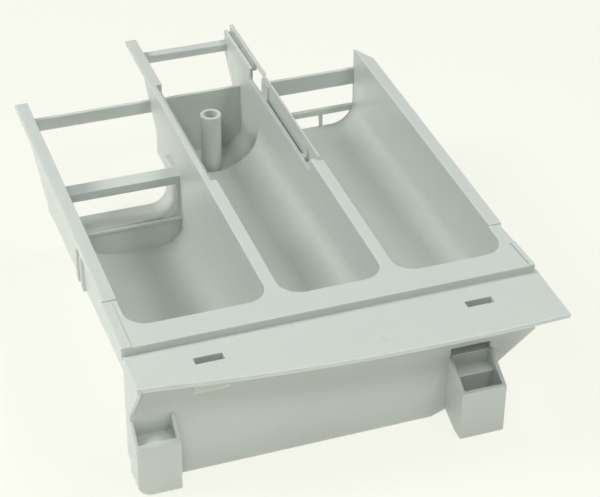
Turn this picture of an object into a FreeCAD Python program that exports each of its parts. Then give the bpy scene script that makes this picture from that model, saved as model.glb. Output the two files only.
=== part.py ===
import FreeCAD, Part
import math
import os

# Detergent dispenser drawer: one moulded tray with three compartments and no moving part.
# X runs across the drawer, -Y is its front, +Z is up.
# The origin is the middle of the deck's front edge, on the deck's upper face.

V = FreeCAD.Vector

# Wall thicknesses
wall = 1.8
plate = 2.2
bar_t = 2.0

# Widths across the drawer, from left to right
rim_w = 6.8
left_w = 66.7
strip_w = 6.5
mid_w = 50.2
right_w = 54.5
deck_over = 1.0

# Lengths along the drawer
deck_front = 15.0
rim_front = 37.0
side_len = 220.0
strip_end = 118.5
wall_over = 45.5

# Heights of the rims and of the low ribs on the deck
rim_rise = 1.0
rib_rise = 0.6
rib_w = 5.0
rib_gap = 0.8

# Compartment floors: depth at the front, fall towards the rear, corner radii
plan_r = 11.0
front_r = 26.0
left_deep = 60.0
left_fall = 7.0
left_r_out = 35.0
left_r_in = 13.0
left_end = 164.0
mid_deep = 46.0
mid_fall = 6.0
mid_r = 24.5
right_deep = 40.0
right_fall = 5.3
right_r = 13.0

# Rear spout of the left compartment
spout_sill = 49.5
spout_lip = 53.7
spout_len = 22.0
spout_in = 2.0
spout_r = 9.5
sill_t = 2.2
sill_over = 1.6
frame_top = 24.3
frame_h = 5.2
frame_deep = 9.0
bay_lap = 20.0

# Sump and siphon tube of the middle compartment
sump_start = 203.0
sump_len = 33.0
sump_deep = 57.5
sump_r = 11.5
sump_wall_top = 20.3
tube_od = 11.2
tube_id = 7.8
tube_in = 8.5
tube_top = 20.0

# Cross bars at the rear: top, height
bar_left_top = 9.3
bar_left_h = 7.5
bar_right_top = 10.5
bar_right_h = 10.0
low_bar_top = 33.4
low_bar_h = 4.0
post_x = 73.1
post_w = 1.8
mid_bar_top = 6.2
mid_bar_h = 4.6
mid_bar_deep = 5.5

# Seat for the siphon cover on the wall left of the middle compartment
seat_w = 3.2
seat_len = 99.5
seat_deep = 5.3

# Top of the wall right of the middle compartment: key slot, low seat, window, ridge
key_gap = 2.5
key_len = 2.4
key_deep = 6.6
rest_len = 72.6
rest_deep = 7.6
well_gap = 15.6
well_deep = 3.6
catch_gap = 7.1
catch_len = 4.3
catch_top = 0.8
catch_in = 1.0
pad_t = 0.8
window_gap = 10.2
window_len = 12.8
window_over = 2.5
crest_t = 1.5
crest_w = 0.9
ridge_in = 3.3
ridge_t = 1.8
ridge_rise = 2.7
ridge_step = 3.0
slit_deep = 1.5
gap_run = 15.0
gap_low = 24.0
gap_in = 0.9

# Slanted rear edges of the walls
slant_top = 13.5
slant_low = 44.5
tail = 5.0
tail_deep = 11.5
tail_over = 30.0
tail_back = 1.0
tail_low = 41.0
ext_over = 13.0
ext_back = 17.0
ext_in_low = 30.0
ext_low = 34.0
ext_out = 40.0
ext_end = 14.2

# Flange that carries the front
flange_drop = 4.2
flange_left = 99.0
flange_right = 102.0
flange_deep_left = 24.0
flange_deep_mid = 36.2
flange_mid_x = 40.0
flange_deep_right = 35.2
slot_len = 13.4
slot_w = 4.4
slot_deep = 9.0
slot_y = 12.9
slot_left_x = 63.5
slot_right_x = 66.3

# Front panel
panel_y = 6.5
panel_low = 73.3
panel_cut_x = 48.5
panel_cut_z = 70.0
panel_side_z = 33.0
panel_corner_x = 6.0
panel_corner_z = 15.0

# Sockets below the flange: left and right
leg_l_w = 21.0
leg_l_front = 16.5
leg_l_top = 36.0
leg_l_low = 45.5
leg_l_drop = 9.5
leg_l_r = 7.0
leg_r_x = 55.5
leg_r_w = 22.5
leg_r_front = 25.0
leg_r_top = 38.5
leg_r_low = 47.8
leg_r_foot = 74.6
leg_r_drop = 7.5
leg_r_ledge = 7.0
foot_flat = 6.0
foot_rise = 5.0
hook_h = 4.0
hook_in = 1.2
hook_deep = 7.0

# Side cheek under the left end of the flange
cheek_t = 2.0
cheek_top = 7.5
cheek_low = 35.8
cheek_back = 60.0
cheek_root = 12.0

# Bead and groove at the right end of the deck
taper = 2.0
bead_w = 2.4
bead_len = 20.0
groove_w = 0.5
groove_deep = 0.4

# Small stop ribs on the left outer wall
stop_y1 = 105.0
stop_y2 = 96.0
stop_out = 1.8
stop_t = 1.6
stop_high = 15.0
stop_low = 36.0

# Derived positions across the drawer
x0 = -(2 * rim_w + left_w + 2 * strip_w + mid_w + right_w) / 2
x_left = x0 + rim_w
x_left_end = x_left + left_w
x_mid = x_left_end + strip_w
x_mid_end = x_mid + mid_w
x_right = x_mid_end + strip_w
x_right_end = x_right + right_w
x1 = x_right_end + rim_w
x_tube = (x_mid + x_mid_end) / 2
x_ridge = x_mid_end + ridge_in
x_edge_l = x0 - deck_over
x_cheek = x0 - deck_over / 2
x_edge_r = x1 + deck_over

# Derived positions along the drawer
wall_len = side_len + wall_over
tail_len = wall_len + tail
tail_top_y = side_len + tail_over
tail_low_y = side_len + tail_back
spout_end = left_end + spout_len
sump_end = sump_start + sump_len
tube_y = sump_start + tube_in
key_front = strip_end + key_gap
key_rear = key_front + key_len
well_front = key_rear + well_gap
catch_front = key_rear + catch_gap
rest_rear = key_rear + rest_len
window_front = rest_rear + window_gap
window_rear = window_front + window_len
under_rear = window_rear + window_over
seat_rear = strip_end + seat_len
gap_front = side_len - gap_run
ext_top_y = side_len + ext_over
ext_low_y = side_len - ext_back

# Reach of the open side of a space, well clear of the drawer
reach = 2 * leg_r_foot


# Basic solids
def box(xa, xb, ya, yb, za, zb):
    return Part.makeBox(xb - xa, yb - ya, zb - za, V(xa, ya, za))


def plate_x(xa, xb, yz):
    points = [V(xa, y, z) for y, z in yz]
    face = Part.Face(Part.makePolygon(points + points[:1]))
    return face.extrude(V(xb - xa, 0, 0))


def plate_y(ya, yb, xz):
    points = [V(x, ya, z) for x, z in xz]
    face = Part.Face(Part.makePolygon(points + points[:1]))
    return face.extrude(V(0, yb - ya, 0))


def join(solids):
    whole = solids[0].multiFuse(solids[1:])
    return whole.removeSplitter()


# A trough whose floor falls towards the rear, between ya and yb
def trough(xa, xb, ya, yb, deep, fall, r_a, r_b):
    k = math.sqrt(0.5)
    low = -deep
    a = V(xa, ya, reach)
    b = V(xa, ya, low + r_a)
    ab = V(xa + r_a * (1 - k), ya, low + r_a * (1 - k))
    c = V(xa + r_a, ya, low)
    d = V(xb - r_b, ya, low)
    de = V(xb - r_b * (1 - k), ya, low + r_b * (1 - k))
    e = V(xb, ya, low + r_b)
    f = V(xb, ya, reach)
    edges = [
        Part.makeLine(a, b),
        Part.Arc(b, ab, c).toShape(),
        Part.makeLine(c, d),
        Part.Arc(d, de, e).toShape(),
        Part.makeLine(e, f),
        Part.makeLine(f, a),
    ]
    face = Part.Face(Part.Wire(edges))
    return face.extrude(V(0, yb - ya, -fall))


# The front end of a compartment: corners rounded in plan, floor rounded up to the front wall
def front_end(xa, xb, ya, yb, deep, grow):
    k = math.sqrt(0.5)
    r = plan_r + grow
    edges = [
        Part.makeLine(V(xa, yb, -deep), V(xa, ya + r, -deep)),
        Part.Arc(V(xa, ya + r, -deep), V(xa + r * (1 - k), ya + r * (1 - k), -deep),
                 V(xa + r, ya, -deep)).toShape(),
        Part.makeLine(V(xa + r, ya, -deep), V(xb - r, ya, -deep)),
        Part.Arc(V(xb - r, ya, -deep), V(xb - r * (1 - k), ya + r * (1 - k), -deep),
                 V(xb, ya + r, -deep)).toShape(),
        Part.makeLine(V(xb, ya + r, -deep), V(xb, yb, -deep)),
        Part.makeLine(V(xb, yb, -deep), V(xa, yb, -deep)),
    ]
    plan = Part.Face(Part.Wire(edges)).extrude(V(0, 0, deep + reach))
    q = front_r + grow
    side = [
        Part.makeLine(V(xa, ya, reach), V(xa, ya, -deep + q)),
        Part.Arc(V(xa, ya, -deep + q), V(xa, ya + q * (1 - k), -deep + q * (1 - k)),
                 V(xa, ya + q, -deep)).toShape(),
        Part.makeLine(V(xa, ya + q, -deep), V(xa, ya + q, -2 * deep)),
        Part.makeLine(V(xa, ya + q, -2 * deep), V(xa, yb, -2 * deep)),
        Part.makeLine(V(xa, yb, -2 * deep), V(xa, yb, reach)),
        Part.makeLine(V(xa, yb, reach), V(xa, ya, reach)),
    ]
    profile = Part.Face(Part.Wire(side)).extrude(V(xb - xa, 0, 0))
    low = box(xa, xb, ya, yb, -2 * deep, -deep + wall)
    low = low.cut(box(xa, xb, ya, ya + q, -2 * deep, -deep))
    plan = plan.fuse(low)
    return plan.common(profile)


# One compartment, inner space (grow 0) or outer skin (grow = wall)
def compartment(xa, xb, yb, deep, fall, r_a, r_b, grow, back):
    ya = deck_front - grow
    end = yb + back
    slope = fall / (yb - deck_front)
    depth = deep + grow
    body = trough(xa - grow, xb + grow, ya, end, depth, slope * (end - ya), r_a + grow, r_b + grow)
    return body.common(front_end(xa - grow, xb + grow, ya, end, depth, grow))


def below_deck(shape):
    return shape.common(box(x0, x1, 0, wall_len, -reach, 0))


# Left compartment with its raised sill and rear spout
def left_space():
    main = compartment(x_left, x_left_end, left_end, left_deep, left_fall, left_r_out, left_r_in, 0, 0)
    fall = spout_lip - spout_sill
    xa = x_left + spout_in
    xb = x_left_end - spout_in
    spout = trough(xa, xb, left_end, wall_len, spout_sill, fall * (wall_len - left_end) /
                   (spout_end - left_end), spout_r, spout_r)
    over = box(x_left, x_left_end, left_end, wall_len, -frame_top, reach)
    return join([main, spout, over])


def left_skin():
    skin = compartment(x_left, x_left_end, left_end, left_deep, left_fall, left_r_out, left_r_in, wall, wall)
    fall = spout_lip - spout_sill
    spout = trough(x_left, x_left_end, left_end, spout_end, spout_sill + wall, fall,
                   spout_r + spout_in, spout_r + spout_in)
    return below_deck(skin.fuse(spout))


# The sill stands a little proud of the step, over a narrow shadow gap
def left_sill():
    za = -spout_sill - sill_t
    lip = box(x_left, x_left_end, left_end - sill_over, left_end + wall, za, -spout_sill)
    room = compartment(x_left, x_left_end, left_end + wall, left_deep, left_fall, left_r_out, left_r_in, 0, 0)
    return lip.common(room)


# Cross frame over the spout: a top leaf and a front leaf
def left_frame():
    top = box(x_left, x_left_end, left_end, left_end + frame_deep, -frame_top - bar_t, -frame_top)
    front = box(x_left, x_left_end, left_end, left_end + bar_t, -frame_top - frame_h, -frame_top)
    return top.fuse(front)


# Walls of the left bay behind the compartment, with slanted rear edges
def left_bay_walls():
    start = left_end - bay_lap
    outline = [(start, 0), (ext_top_y, 0), (ext_low_y, -ext_in_low), (start, -ext_in_low)]
    inner = plate_x(x_left_end, x_left_end + wall, outline)
    side = [(left_end, 0), (side_len, 0), (side_len, -ext_end), (side_len - ext_out, -ext_low), (left_end, -ext_low)]
    outer = plate_x(x_left - wall, x_left, side)
    return inner.fuse(outer)


# What the round left rear corner of the sump leaves out, inside (grow 0) or outside (grow = wall)
def sump_corner(grow):
    r = plan_r + grow
    x = x_mid - grow
    y = sump_end + grow
    corner = box(x, x + r, y - r, y, -reach, reach)
    return corner.cut(Part.makeCylinder(r, 2 * reach, V(x + r, y - r, -reach)))


# Middle compartment with the sump at its rear
def mid_space():
    main = compartment(x_mid, x_mid_end, sump_start, mid_deep, mid_fall, mid_r, mid_r, 0, 0)
    sump = trough(x_mid, x_mid_end, sump_start, sump_end, sump_deep, 0, sump_r, sump_r)
    return main.fuse(sump.cut(sump_corner(0)))


def mid_skin():
    skin = compartment(x_mid, x_mid_end, sump_start, mid_deep, mid_fall, mid_r, mid_r, wall, 0)
    sump = trough(x_mid - wall, x_mid_end + wall, sump_start - wall, sump_end + wall, sump_deep + wall, 0,
                  sump_r + wall, sump_r + wall)
    low = box(x_mid, x_mid_end, sump_end - plan_r, wall_len, -sump_wall_top, reach)
    return below_deck(skin.fuse(sump.cut(sump_corner(wall)))).cut(low)


def tube():
    return Part.makeCylinder(tube_od / 2, sump_deep - tube_top, V(x_tube, tube_y, -sump_deep))


def tube_bore():
    return Part.makeCylinder(tube_id / 2, sump_deep + wall, V(x_tube, tube_y, -sump_deep - wall))


# Long inner walls of the middle bay, with slanted rear edges, and the bar between their ends
def mid_bay():
    outline = [(sump_start, 0), (wall_len, 0), (wall_len, -slant_top), (sump_end + wall, -slant_low),
               (sump_start, -slant_low)]
    shorter = [(sump_start, 0), (tail_len, 0), (tail_len, -tail_deep), (tail_top_y, -tail_deep),
               (tail_low_y, -tail_low), (sump_start, -tail_low)]
    left = plate_x(x_mid - wall, x_mid, shorter)
    right = plate_x(x_mid_end, x_mid_end + wall, outline)
    back = wall_len - mid_bar_deep
    top = box(x_mid - wall, x_mid_end + wall, back, wall_len, -mid_bar_top - bar_t, -mid_bar_top)
    front = box(x_mid - wall, x_mid_end + wall, back, back + bar_t, -mid_bar_top - mid_bar_h, -mid_bar_top)
    return join([left, right, top, front])


# Right compartment, open to the rear over its lip
def right_space():
    return compartment(x_right, x_right_end, side_len, right_deep, right_fall, right_r, right_r, 0, wall)


def right_skin():
    skin = compartment(x_right, x_right_end, side_len, right_deep, right_fall, right_r, right_r, wall, 0)
    return below_deck(skin)


def right_bars():
    y = side_len - bar_t
    floor = right_deep + right_fall + wall
    high = box(x_right + gap_in, x_right_end + wall, y, side_len, -bar_right_top - bar_right_h, -bar_right_top)
    low = box(x_right - wall, x_right_end + wall, y, side_len, -low_bar_top - low_bar_h, -low_bar_top)
    post = box(post_x - post_w / 2, post_x + post_w / 2, y, side_len, -floor, -low_bar_top)
    return join([high, low, post])


def left_bar():
    y = side_len - bar_t
    return box(x_left - wall, x_left_end + wall, y, side_len, -bar_left_top - bar_left_h, -bar_left_top)


# Deck, rims and ribs
def plan(points, za, zb):
    corners = [V(x, y, za) for x, y in points]
    face = Part.Face(Part.makePolygon(corners + corners[:1]))
    return face.extrude(V(0, 0, zb - za))


def deck():
    x_back = x_edge_r - taper
    top = plan([(x_edge_l, 0), (x_edge_r, 0), (x_back, rim_front), (x_edge_l, rim_front)], -plate, 0)
    left = box(x0, x_left, rim_front - rib_gap, side_len, -plate, rim_rise)
    right = box(x_right_end, x1, rim_front - rib_gap, side_len, -plate, rim_rise)
    corner = [(x_right_end, side_len), (x1, side_len), (x1, side_len - 2 * rim_w)]
    right = right.cut(plan(corner, -plate, rim_rise))
    strip_a = box(x_left_end, x_mid, deck_front, tail_len, -plate, 0)
    strip_b = box(x_mid_end, x_right, deck_front, side_len, -plate, 0)
    rib = box(x_edge_l, x_edge_l + rib_w, 0, rim_front - 2 * rib_gap, -plate, rib_rise)
    x_bead = x_edge_r - taper * bead_len / rim_front
    bead = plan([(x_edge_r - bead_w, 0), (x_edge_r, 0), (x_bead, bead_len), (x_bead - bead_w, bead_len)],
                -plate, rib_rise)
    riser = box(x_edge_l, x_edge_r, 0, plate, -flange_drop - plate, 0)
    whole = join([top, left, right, strip_a, strip_b, rib, bead, riser])
    x_groove = x_edge_r - bead_w - groove_w
    shift = x_bead - x_edge_r
    groove = plan([(x_groove, plate), (x_groove + groove_w, plate), (x_groove + groove_w + shift, bead_len),
                   (x_groove + shift, bead_len)], -groove_deep, reach)
    return whole.cut(groove)


# Seat for the siphon cover on the wall left of the middle compartment
def left_seat():
    return box(x_left_end, x_mid, strip_end, seat_rear + plate, -seat_deep - wall, 0)


def left_seat_cut():
    return box(x_mid - seat_w, x_mid, strip_end, seat_rear, -seat_deep, reach)


# Ridge along the wall right of the middle compartment, joined to it below a narrow gap
def ridge():
    strip = box(x_mid_end, x_ridge + ridge_t, window_rear, wall_len, -slit_deep - plate, 0)
    crest = box(x_ridge, x_ridge + crest_w, strip_end, window_front, -plate, ridge_rise)
    rear = box(x_ridge, x_ridge + ridge_t, window_front, wall_len, -plate, ridge_rise)
    root = box(x_mid_end, x_right, strip_end, window_front, -rest_deep - well_deep - plate, 0)
    return join([strip, crest, rear, root])


def ridge_cuts():
    x_gap = x_mid_end + wall
    key = box(x_mid_end, x_ridge, key_front, key_rear, -key_deep, reach)
    rest = box(x_mid_end, x_ridge, key_rear, rest_rear, -rest_deep, reach)
    well = box(x_gap, x_ridge, well_front, rest_rear, -rest_deep - well_deep, reach)
    catch = box(x_gap, x_ridge + catch_in, catch_front, catch_front + catch_len, -rest_deep - well_deep, -catch_top)
    beside_pad = box(x_mid_end, x_ridge - pad_t, rest_rear, window_front, -rest_deep, reach)
    window = box(x_mid_end, x_ridge, window_front, window_rear, -rest_deep, reach)
    under = box(x_gap, x_right, window_front, under_rear, -slit_deep - plate, ridge_rise - crest_t)
    slit = box(x_gap, x_ridge, window_rear, wall_len, -slit_deep, reach)
    step = box(x_ridge + crest_w, x_right, strip_end, window_front, -ridge_step, reach)
    gap = box(x_right - wall, x_right + gap_in, gap_front, side_len, -gap_low, -plate)
    return [key, rest, well, catch, beside_pad, window, under, slit, step, gap]


# The right compartment's wall steps in behind the window
def gap_wall():
    xa = x_right + gap_in
    side = box(xa, xa + wall, gap_front - wall, side_len, -gap_low - wall, -bar_right_top)
    front = box(x_right - wall, xa + wall, gap_front - wall, gap_front, -gap_low - wall, -bar_right_top)
    low = box(x_right - wall, xa + wall, gap_front - wall, side_len, -gap_low - wall, -gap_low)
    return join([side, front, low])


# Flange with its bowed front edge and two slots, each with a closed pocket below
def flange():
    z = -flange_drop - plate
    a = V(-flange_left, plate, z)
    b = V(-flange_left, -flange_deep_left, z)
    m = V(flange_mid_x, -flange_deep_mid, z)
    c = V(flange_right, -flange_deep_right, z)
    d = V(flange_right, plate, z)
    edges = [Part.makeLine(a, b), Part.Arc(b, m, c).toShape(), Part.makeLine(c, d), Part.makeLine(d, a)]
    leaf = Part.Face(Part.Wire(edges)).extrude(V(0, 0, plate))
    for x in (-slot_left_x, slot_right_x):
        xa = x - slot_len / 2
        xb = x + slot_len / 2
        ya = -slot_y - slot_w / 2
        yb = -slot_y + slot_w / 2
        low = z - plate - slot_deep
        housing = box(xa - wall, xb + wall, ya - wall, -panel_y, low - wall, z)
        pocket = box(xa, xb, ya, -panel_y, low, z - plate)
        leaf = leaf.fuse(housing).cut(pocket).cut(box(xa, xb, ya, yb, low, 0))
    return leaf


def panel():
    top = -flange_drop - plate
    outline = [(x_cheek, top), (x_cheek, -panel_low + panel_corner_z), (x_cheek + panel_corner_x, -panel_low),
               (panel_cut_x, -panel_low), (leg_r_x, -panel_cut_z), (x_edge_r, -panel_side_z), (x_edge_r, top)]
    leaf = plate_y(-panel_y, -panel_y + bar_t, outline)
    xa = leg_r_x + hook_in
    xb = leg_r_x + leg_r_w - hook_in
    za = -leg_r_top
    zb = za + hook_h
    back = -panel_y + hook_deep
    pocket = box(xa - wall, xb + wall, -panel_y, back + wall, za - wall, zb + wall)
    return leaf.fuse(pocket).cut(box(xa, xb, -panel_y, back, za, zb))


def cheek():
    top = -flange_drop
    back = -panel_y + bar_t
    outline = [(plate, top), (-flange_deep_left, top), (-flange_deep_left, -cheek_top), (back, -cheek_low),
               (back, -cheek_back), (0, -cheek_back), (0, -cheek_root), (plate, -cheek_root)]
    return plate_x(x_cheek, x_cheek + cheek_t, outline)


# An open-topped socket: sloped mouth, closed foot, a hollow ledge against the panel
def leg(xa, xb, front, top, low, foot, drop, ledge):
    outer = [(-panel_y + bar_t, -top), (-panel_y, -top), (-front, -low), (-front, -foot),
             (-front + foot_flat, -foot), (-panel_y + bar_t, -foot + foot_rise)]
    body = plate_x(xa, xb, outer)
    shelf = -top - drop
    back = -panel_y - ledge
    mouth = box(xa + wall, xb - wall, -front + wall, -panel_y, shelf, reach)
    under = box(xa + wall, xb - wall, back + wall, -panel_y, -reach, shelf - plate)
    return body.cut(mouth).cut(under)


def left_leg():
    body = leg(x_cheek, x_cheek + leg_l_w, leg_l_front, leg_l_top, leg_l_low, panel_low, leg_l_drop,
               leg_l_front - panel_y)
    r = leg_l_r
    corner = box(x_cheek, x_cheek + r, -leg_l_front, 0, -panel_low, -panel_low + r)
    disc = Part.makeCylinder(r, leg_l_front, V(x_cheek + r, -leg_l_front, -panel_low + r), V(0, 1, 0))
    return body.cut(corner.cut(disc))


def right_leg():
    xb = leg_r_x + leg_r_w
    body = leg(leg_r_x, xb, leg_r_front, leg_r_top, leg_r_low, leg_r_foot, leg_r_drop, leg_r_ledge)
    well = [(-leg_r_front + wall, reach), (-leg_r_front + wall, -leg_r_foot + plate),
            (-panel_y - leg_r_ledge, -leg_r_foot + plate + foot_rise), (-panel_y - leg_r_ledge, reach)]
    return body.cut(plate_x(leg_r_x + wall, xb - wall, well))


# A small rib that follows the curved outer wall of the left compartment
def stop_rib(y):
    grown = compartment(x_left, x_left_end, left_end, left_deep, left_fall, left_r_out, left_r_in, wall + stop_out, 0)
    band = box(x0, x_left + left_r_out, y - stop_t / 2, y + stop_t / 2, -stop_low, -stop_high)
    return grown.common(band)


def drawer():
    shells = [left_skin(), mid_skin(), right_skin(), deck(), left_bay_walls(), left_seat(), ridge()]
    body = join(shells + [stop_rib(stop_y1), stop_rib(stop_y2)])
    for space in (left_space(), mid_space(), right_space()):
        body = body.cut(space)
    front = [flange(), panel(), cheek(), left_leg(), right_leg()]
    bars = [left_sill(), left_frame(), left_bar(), mid_bay(), right_bars(), gap_wall(), tube()]
    body = join([body] + front + bars)
    for cut in ridge_cuts() + [left_seat_cut(), tube_bore()]:
        body = body.cut(cut)
    return body.Solids[0]


os.makedirs("parts", exist_ok=True)
shape = drawer()
print("solids", len(shape.Solids), "volume", round(shape.Volume), "valid", shape.isValid())
print("box", shape.BoundBox)
print("centre of mass", shape.CenterOfMass)
shape.exportStep("parts/drawer_body.step")
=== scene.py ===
import math

import bmesh
import bpy
from bpy.props import FloatProperty, PointerProperty, StringProperty
from mathutils import Matrix, Vector


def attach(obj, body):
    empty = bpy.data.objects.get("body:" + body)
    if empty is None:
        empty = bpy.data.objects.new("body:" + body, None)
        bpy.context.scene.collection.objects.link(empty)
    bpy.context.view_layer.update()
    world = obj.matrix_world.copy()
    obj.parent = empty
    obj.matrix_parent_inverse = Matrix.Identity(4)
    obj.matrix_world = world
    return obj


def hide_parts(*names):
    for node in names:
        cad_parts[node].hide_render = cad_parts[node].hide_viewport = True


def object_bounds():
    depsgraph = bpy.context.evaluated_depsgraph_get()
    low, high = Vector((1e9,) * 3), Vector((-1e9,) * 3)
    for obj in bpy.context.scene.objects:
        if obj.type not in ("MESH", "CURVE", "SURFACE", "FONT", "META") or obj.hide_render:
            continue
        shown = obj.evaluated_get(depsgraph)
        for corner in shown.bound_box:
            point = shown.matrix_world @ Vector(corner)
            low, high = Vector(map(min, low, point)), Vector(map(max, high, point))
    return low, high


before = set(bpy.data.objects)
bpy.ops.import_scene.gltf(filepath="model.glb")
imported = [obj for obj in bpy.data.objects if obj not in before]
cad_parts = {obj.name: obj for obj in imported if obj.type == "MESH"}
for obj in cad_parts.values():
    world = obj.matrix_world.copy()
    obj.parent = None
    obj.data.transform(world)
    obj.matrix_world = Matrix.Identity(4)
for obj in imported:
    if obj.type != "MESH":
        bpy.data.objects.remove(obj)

bl_info = {
    "name": "Detergent drawer",
    "version": (1, 0, 0),
    "blender": (4, 5, 0),
    "location": "3D View > Sidebar > Drawer",
    "description": "Finishes the moulded detergent drawer and sets it on a pale studio floor",
    "category": "Object",
}

NODE = "drawer_body"
CAD_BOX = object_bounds()
MM = 0.001

# Where the photograph was taken from, in millimetres in the drawer's own frame, and which way the camera looks.
EYE = Vector((-247.33, -645.21, 515.11))
TO_THE_RIGHT = Vector((0.94339, -0.33160, 0.00725))
UPWARDS = Vector((0.18453, 0.54291, 0.81927))
AHEAD = Vector((0.27561, 0.77155, -0.57337))

# The middle of the deck, which the lights are aimed at, in millimetres.
MIDDLE = Vector((0.0, 110.0, 0.0))

# The lamps: bearing from +X round to +Y and height above the deck, in degrees, and width in metres.
LAMPS = {
    "left_light": (172, 44, 0.4),
    "front_light": (240, 45, 0.2),
    "right_light": (345, 64, 0.55),
    "fill_light": (300, 45, 0.2),
}
# Distance of the lamps from the middle of the deck, and half the floor's width, in metres.
LAMPS_AWAY = 1.3
FLOOR_HALF = 20.0
# How much of the floor's own glow the camera sees; the rest shows the drawer's shadow.
GLOW_SHARE = 0.85

# Faces that meet at more than EDGE degrees form an edge of the moulding, and under SHARP they shade as one surface.
EDGE = math.radians(35)
SHARP = math.radians(60)
# Faces within FLAT of one plane are one face, and points closer than MERGE millimetres are one point.
FLAT = math.radians(0.3)
MERGE = 0.002
# An edge is rounded where it has this many times its radius of free face on both sides.
FREE = 2.4
# Places along an edge where the free face is measured, and the width that counts as plenty, in metres.
ALONG = (0.02, 0.25, 0.5, 0.75, 0.98)
PLENTY = 1.0

# Patterns in the plastic, in millimetres: how far apart they repeat, and how high they stand.
CLOUDS = 30.0
RUBBED = 9.0
SINKS = 22.0
GRAIN = 0.9
SINK_HEIGHT = 0.12
GRAIN_HEIGHT = 0.008

# Where pins of the mould pushed on the moulding and left a shallow round mark, in millimetres.
PINS = (Vector((16.0, -24.5, -4.2)), Vector((-61.0, 12.0, 0.0)))
PIN_INNER = 1.8
PIN_OUTER = 2.4
PIN_DEEP = 0.15


def linear(code):
    """An sRGB hex colour as linear RGBA."""
    parts = [int(code[i:i + 2], 16) / 255 for i in (1, 3, 5)]
    return [c / 12.92 if c <= 0.04045 else ((c + 0.055) / 1.055) ** 2.4 for c in parts] + [1.0]


def per_mm(size):
    """The scale at which a pattern repeats about every size millimetres on a mesh in metres."""
    return 1 / (size * MM)


def add(tree, kind, links=(), **settings):
    """Adds a node. Settings are its properties, or its inputs by name or number; links are (input, output socket)."""
    node = tree.nodes.new(kind)
    inputs = settings.pop("inputs", {})
    for name, value in settings.items():
        setattr(node, name, value)
    for name, value in inputs.items():
        node.inputs[name].default_value = value
    for name, socket in links:
        tree.links.new(socket, node.inputs[name])
    return node


def seen_rays(tree):
    """An output that is 1 for what the camera sees straight, in a reflection or through a piece, and else 0."""
    ray = add(tree, "ShaderNodeLightPath").outputs
    seen = add(tree, "ShaderNodeMath", [(0, ray["Is Camera Ray"]), (1, ray["Is Glossy Ray"])], operation="MAXIMUM")
    seen = add(tree, "ShaderNodeMath", [(0, seen.outputs[0]), (1, ray["Is Transmission Ray"])], operation="MAXIMUM")
    return seen.outputs[0]


def gap(point, a, b):
    """Distance from a point to the straight run between a and b."""
    run = b - a
    share = max(0.0, min(1.0, (point - a).dot(run) / run.length_squared))
    return (point - a - run * share).length


def corner(edge):
    """Whether the surface turns sharply at an edge."""
    return edge.calc_face_angle() > EDGE


def room(edge):
    """Distance from an edge to the nearest other corner of its two faces, apart from those it runs into."""
    a, b = (v.co for v in edge.verts)
    along = [a.lerp(b, t) for t in ALONG]
    nearest = [PLENTY]
    for face in edge.link_faces:
        for other in face.edges:
            if corner(other) and not set(other.verts) & set(edge.verts):
                c, d = (v.co for v in other.verts)
                nearest += [gap(p, c, d) for p in along]
                nearest += [gap(p, a, b) for p in (c, d, c.lerp(d, 0.5))]
    return min(nearest)


class DrawerFinish(bpy.types.PropertyGroup):
    """Sizes and colours of the moulding."""
    edge_round: FloatProperty(
        name="Edge rounding", description="Radius of the small rounding on the moulding's edges",
        default=0.4 * MM, min=0.0, max=0.6 * MM, precision=5, subtype="DISTANCE", unit="LENGTH")
    plain: StringProperty(
        name="Plastic", description="Colour of the light grey plastic, as sRGB hex", default="#CFD3CF")
    cloud: StringProperty(
        name="Cloud", description="Colour of the slightly denser patches in the plastic, as sRGB hex",
        default="#C9CECA")
    roughness: FloatProperty(
        name="Roughness", description="Mean roughness of the moulded surface", default=0.36, min=0.0, max=1.0,
        subtype="FACTOR")


class StudioStage(bpy.types.PropertyGroup):
    """Floor, light and camera."""
    floor: StringProperty(name="Floor", description="Colour of the pale floor, as sRGB hex", default="#F6F7EC")
    floor_seen: FloatProperty(
        name="Floor brightness", description="Strength at which the camera sees the bare floor", default=0.985,
        min=0.0)
    bounce: StringProperty(
        name="Bounce", description="Colour of the light that the floor sends up, as sRGB hex", default="#FBF5F8")
    sky: StringProperty(
        name="Room", description="Colour of the even light from all round, as sRGB hex", default="#D8E2F5")
    sky_light: FloatProperty(
        name="Room light", description="Strength of the even light from all round", default=0.08, min=0.0)
    floor_light: FloatProperty(
        name="Floor light", description="Strength of the light that the bright floor sends up", default=0.4,
        min=0.0)
    lamp: StringProperty(name="Lamps", description="Colour of the lamps, as sRGB hex", default="#FDFFFB")
    left_light: FloatProperty(
        name="Left light", description="Power of the large soft light on the left", default=10.1, min=0.0,
        unit="POWER")
    front_light: FloatProperty(
        name="Front light", description="Power of the soft light at the front, left of the camera", default=2.9,
        min=0.0, unit="POWER")
    right_light: FloatProperty(
        name="Right light", description="Power of the soft light high on the right", default=5.7, min=0.0,
        unit="POWER")
    fill_light: FloatProperty(
        name="Fill light", description="Power of the weak light at the front, right of the camera", default=2.7,
        min=0.0, unit="POWER")
    lens: FloatProperty(
        name="Lens", description="Focal length of the camera, in millimetres", default=114.0, min=20.0, unit="CAMERA")


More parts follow.
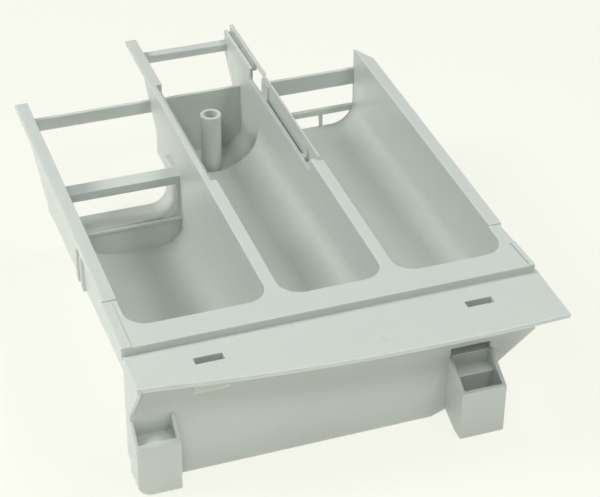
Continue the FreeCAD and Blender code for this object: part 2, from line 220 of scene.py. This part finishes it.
def polypropylene(finish):
    """Polypropylene, injection moulded in a smooth steel mould: pale grey and slightly see-through in thin
    walls, with a satin skin that gives broad soft reflections, faint clouds from the flow of the melt, a very
    fine grain from the mould and shallow round marks of its pins."""
    material = bpy.data.materials.new("moulded_polypropylene")
    material.use_nodes = True
    tree = material.node_tree
    tree.nodes.clear()
    place = add(tree, "ShaderNodeTexCoord").outputs["Object"]
    flow = add(tree, "ShaderNodeTexNoise", [("Vector", place)],
               inputs={"Scale": per_mm(CLOUDS), "Detail": 3.0, "Roughness": 0.55, "Distortion": 0.6})
    colour = add(tree, "ShaderNodeMix", [("Factor", flow.outputs["Fac"])], data_type="RGBA",
                 inputs={6: linear(finish.plain), 7: linear(finish.cloud)})
    rub = add(tree, "ShaderNodeTexNoise", [("Vector", place)],
              inputs={"Scale": per_mm(RUBBED), "Detail": 4.0, "Roughness": 0.6})
    satin = add(tree, "ShaderNodeMapRange", [("Value", rub.outputs["Fac"])],
                inputs={"From Min": 0.3, "From Max": 0.7, "To Min": finish.roughness - 0.05,
                        "To Max": finish.roughness + 0.06})
    grain = add(tree, "ShaderNodeTexNoise", [("Vector", place)],
                inputs={"Scale": per_mm(GRAIN), "Detail": 2.0, "Roughness": 0.5})
    sink = add(tree, "ShaderNodeTexNoise", [("Vector", place)],
               inputs={"Scale": per_mm(SINKS), "Detail": 1.0, "Roughness": 0.4})
    wave = add(tree, "ShaderNodeBump", [("Height", sink.outputs["Fac"])],
               inputs={"Strength": 1.0, "Distance": SINK_HEIGHT * MM})
    for pin in PINS:
        away = add(tree, "ShaderNodeVectorMath", [(0, place)], operation="DISTANCE", inputs={1: pin * MM})
        mark = add(tree, "ShaderNodeMapRange", [("Value", away.outputs["Value"])], interpolation_type="SMOOTHSTEP",
                   inputs={"From Min": PIN_INNER * MM, "From Max": PIN_OUTER * MM, "To Min": 0.0, "To Max": 1.0})
        wave = add(tree, "ShaderNodeBump", [("Height", mark.outputs["Result"]), ("Normal", wave.outputs["Normal"])],
                   inputs={"Strength": 1.0, "Distance": PIN_DEEP * MM})
    skin = add(tree, "ShaderNodeBump", [("Height", grain.outputs["Fac"]), ("Normal", wave.outputs["Normal"])],
               inputs={"Strength": 1.0, "Distance": GRAIN_HEIGHT * MM})
    shader = add(tree, "ShaderNodeBsdfPrincipled",
                 [("Base Color", colour.outputs[2]), ("Roughness", satin.outputs["Result"]),
                  ("Normal", skin.outputs["Normal"])],
                 inputs={"IOR": 1.49, "Subsurface Weight": 0.5, "Subsurface Radius": (1.0, 1.05, 0.9),
                         "Subsurface Scale": 2.5 * MM})
    add(tree, "ShaderNodeOutputMaterial", [("Surface", shader.outputs["BSDF"])])
    return material


class DRAWER_OT_moulding(bpy.types.Operator):
    """Finish the moulded drawer body: rounded edges and the plastic's own surface"""
    bl_idname = "drawer.moulding"
    bl_label = "Moulding"
    bl_options = {"REGISTER", "UNDO"}

    def execute(self, context):
        finish = context.scene.drawer_finish
        bm = bmesh.new()
        bm.from_mesh(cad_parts[NODE].data)
        bmesh.ops.remove_doubles(bm, verts=bm.verts, dist=MERGE * MM)
        bmesh.ops.dissolve_limit(bm, angle_limit=FLAT, verts=bm.verts, edges=bm.edges)
        rounded = [e for e in bm.edges if corner(e) and room(e) > FREE * finish.edge_round]
        bmesh.ops.bevel(bm, geom=rounded, offset=finish.edge_round, offset_type="OFFSET", segments=2, profile=0.5,
                        affect="EDGES", clamp_overlap=False, material=-1, loop_slide=True)
        for face in bm.faces:
            face.smooth = True
        for edge in bm.edges:
            edge.smooth = edge.calc_face_angle() < SHARP
        mesh = bpy.data.meshes.new("drawer_moulding")
        bm.to_mesh(mesh)
        bm.free()
        mesh.materials.append(polypropylene(finish))
        piece = bpy.data.objects.new("drawer_moulding", mesh)
        context.scene.collection.objects.link(piece)
        weigh = piece.modifiers.new("flat_faces", "WEIGHTED_NORMAL")
        weigh.keep_sharp = True
        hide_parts(NODE)
        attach(piece, "root")
        return {"FINISHED"}


class DRAWER_OT_stage(bpy.types.Operator):
    """Set the drawer on a pale floor under soft light, with the camera at the photograph's angle"""
    bl_idname = "drawer.stage"
    bl_label = "Stage"
    bl_options = {"REGISTER", "UNDO"}

    def light(self, context, name, power, bearing, height, width):
        """A square softbox aimed at the middle of the deck, placed as LAMPS says."""
        lamp = bpy.data.lights.new(name, "AREA")
        lamp.energy = power
        lamp.color = linear(context.scene.studio_stage.lamp)[:3]
        lamp.size = width
        turn = math.radians(bearing)
        rise = math.radians(height)
        away = Vector((math.cos(turn) * math.cos(rise), math.sin(turn) * math.cos(rise), math.sin(rise)))
        holder = bpy.data.objects.new(name, lamp)
        holder.location = MIDDLE * MM + away * LAMPS_AWAY
        holder.rotation_mode = "QUATERNION"
        holder.rotation_quaternion = (-away).to_track_quat("-Z", "Y")
        context.scene.collection.objects.link(holder)

    def floor(self, context, stage):
        mesh = bpy.data.meshes.new("floor")
        bm = bmesh.new()
        bmesh.ops.create_grid(bm, x_segments=1, y_segments=1, size=FLOOR_HALF)
        bmesh.ops.translate(bm, verts=bm.verts, vec=(0, 0, CAD_BOX[0].z))
        bm.to_mesh(mesh)
        bm.free()
        material = bpy.data.materials.new("pale_floor")
        material.use_nodes = True
        tree = material.node_tree
        tree.nodes.clear()
        paint = add(tree, "ShaderNodeBsdfDiffuse", inputs={"Color": linear(stage.floor)})
        lit = add(tree, "ShaderNodeEmission", inputs={"Color": linear(stage.bounce), "Strength": stage.floor_light})
        bright = add(tree, "ShaderNodeAddShader", [(0, paint.outputs[0]), (1, lit.outputs[0])])
        glow = add(tree, "ShaderNodeEmission", inputs={"Color": linear(stage.floor), "Strength": stage.floor_seen})
        seen = seen_rays(tree)
        share = add(tree, "ShaderNodeMath", [(0, seen)], operation="MULTIPLY", inputs={1: GLOW_SHARE})
        both = add(tree, "ShaderNodeMixShader",
                   [("Fac", share.outputs[0]), (1, bright.outputs[0]), (2, glow.outputs[0])])
        add(tree, "ShaderNodeOutputMaterial", [("Surface", both.outputs[0])])
        mesh.materials.append(material)
        floor = bpy.data.objects.new("floor", mesh)
        context.scene.collection.objects.link(floor)

    def room(self, context, stage):
        world = bpy.data.worlds.new("pale_room")
        world.use_nodes = True
        tree = world.node_tree
        tree.nodes.clear()
        seen = seen_rays(tree)
        light = add(tree, "ShaderNodeBackground", inputs={"Color": linear(stage.sky), "Strength": stage.sky_light})
        shown = add(tree, "ShaderNodeBackground", inputs={"Color": linear(stage.floor), "Strength": 1.0})
        both = add(tree, "ShaderNodeMixShader",
                   [("Fac", seen), (1, light.outputs[0]), (2, shown.outputs[0])])
        add(tree, "ShaderNodeOutputWorld", [("Surface", both.outputs[0])])
        context.scene.world = world

    def camera(self, context, stage):
        data = bpy.data.cameras.new("camera")
        data.sensor_fit = "HORIZONTAL"
        data.sensor_width = 36.0
        data.lens = stage.lens
        data.clip_start = 0.01
        data.clip_end = 100.0
        camera = bpy.data.objects.new("camera", data)
        turn = Matrix((TO_THE_RIGHT, UPWARDS, -AHEAD)).transposed()
        camera.matrix_world = Matrix.Translation(EYE * MM) @ turn.to_4x4()
        context.scene.collection.objects.link(camera)
        context.scene.camera = camera

    def execute(self, context):
        stage = context.scene.studio_stage
        self.floor(context, stage)
        self.room(context, stage)
        for name, (bearing, height, width) in LAMPS.items():
            self.light(context, name, getattr(stage, name), bearing, height, width)
        self.camera(context, stage)
        context.scene.view_settings.view_transform = "Standard"
        return {"FINISHED"}


class DRAWER_PT_panel(bpy.types.Panel):
    """Lists the drawer's operators and the values that they use"""
    bl_idname = "DRAWER_PT_panel"
    bl_label = "Detergent drawer"
    bl_space_type = "VIEW_3D"
    bl_region_type = "UI"
    bl_category = "Drawer"

    def draw(self, context):
        layout = self.layout
        for group, operator in ((context.scene.drawer_finish, DRAWER_OT_moulding),
                                (context.scene.studio_stage, DRAWER_OT_stage)):
            box = layout.box()
            for name in group.__annotations__:
                box.prop(group, name)
            box.operator(operator.bl_idname)


CLASSES = (DrawerFinish, StudioStage, DRAWER_OT_moulding, DRAWER_OT_stage, DRAWER_PT_panel)


def register():
    for kind in CLASSES:
        bpy.utils.register_class(kind)
    bpy.types.Scene.drawer_finish = PointerProperty(type=DrawerFinish)
    bpy.types.Scene.studio_stage = PointerProperty(type=StudioStage)


def unregister():
    del bpy.types.Scene.studio_stage
    del bpy.types.Scene.drawer_finish
    for kind in reversed(CLASSES):
        bpy.utils.unregister_class(kind)


def main():
    register()
    bpy.ops.drawer.moulding()
    bpy.ops.drawer.stage()


if __name__ == "__main__":
    main()
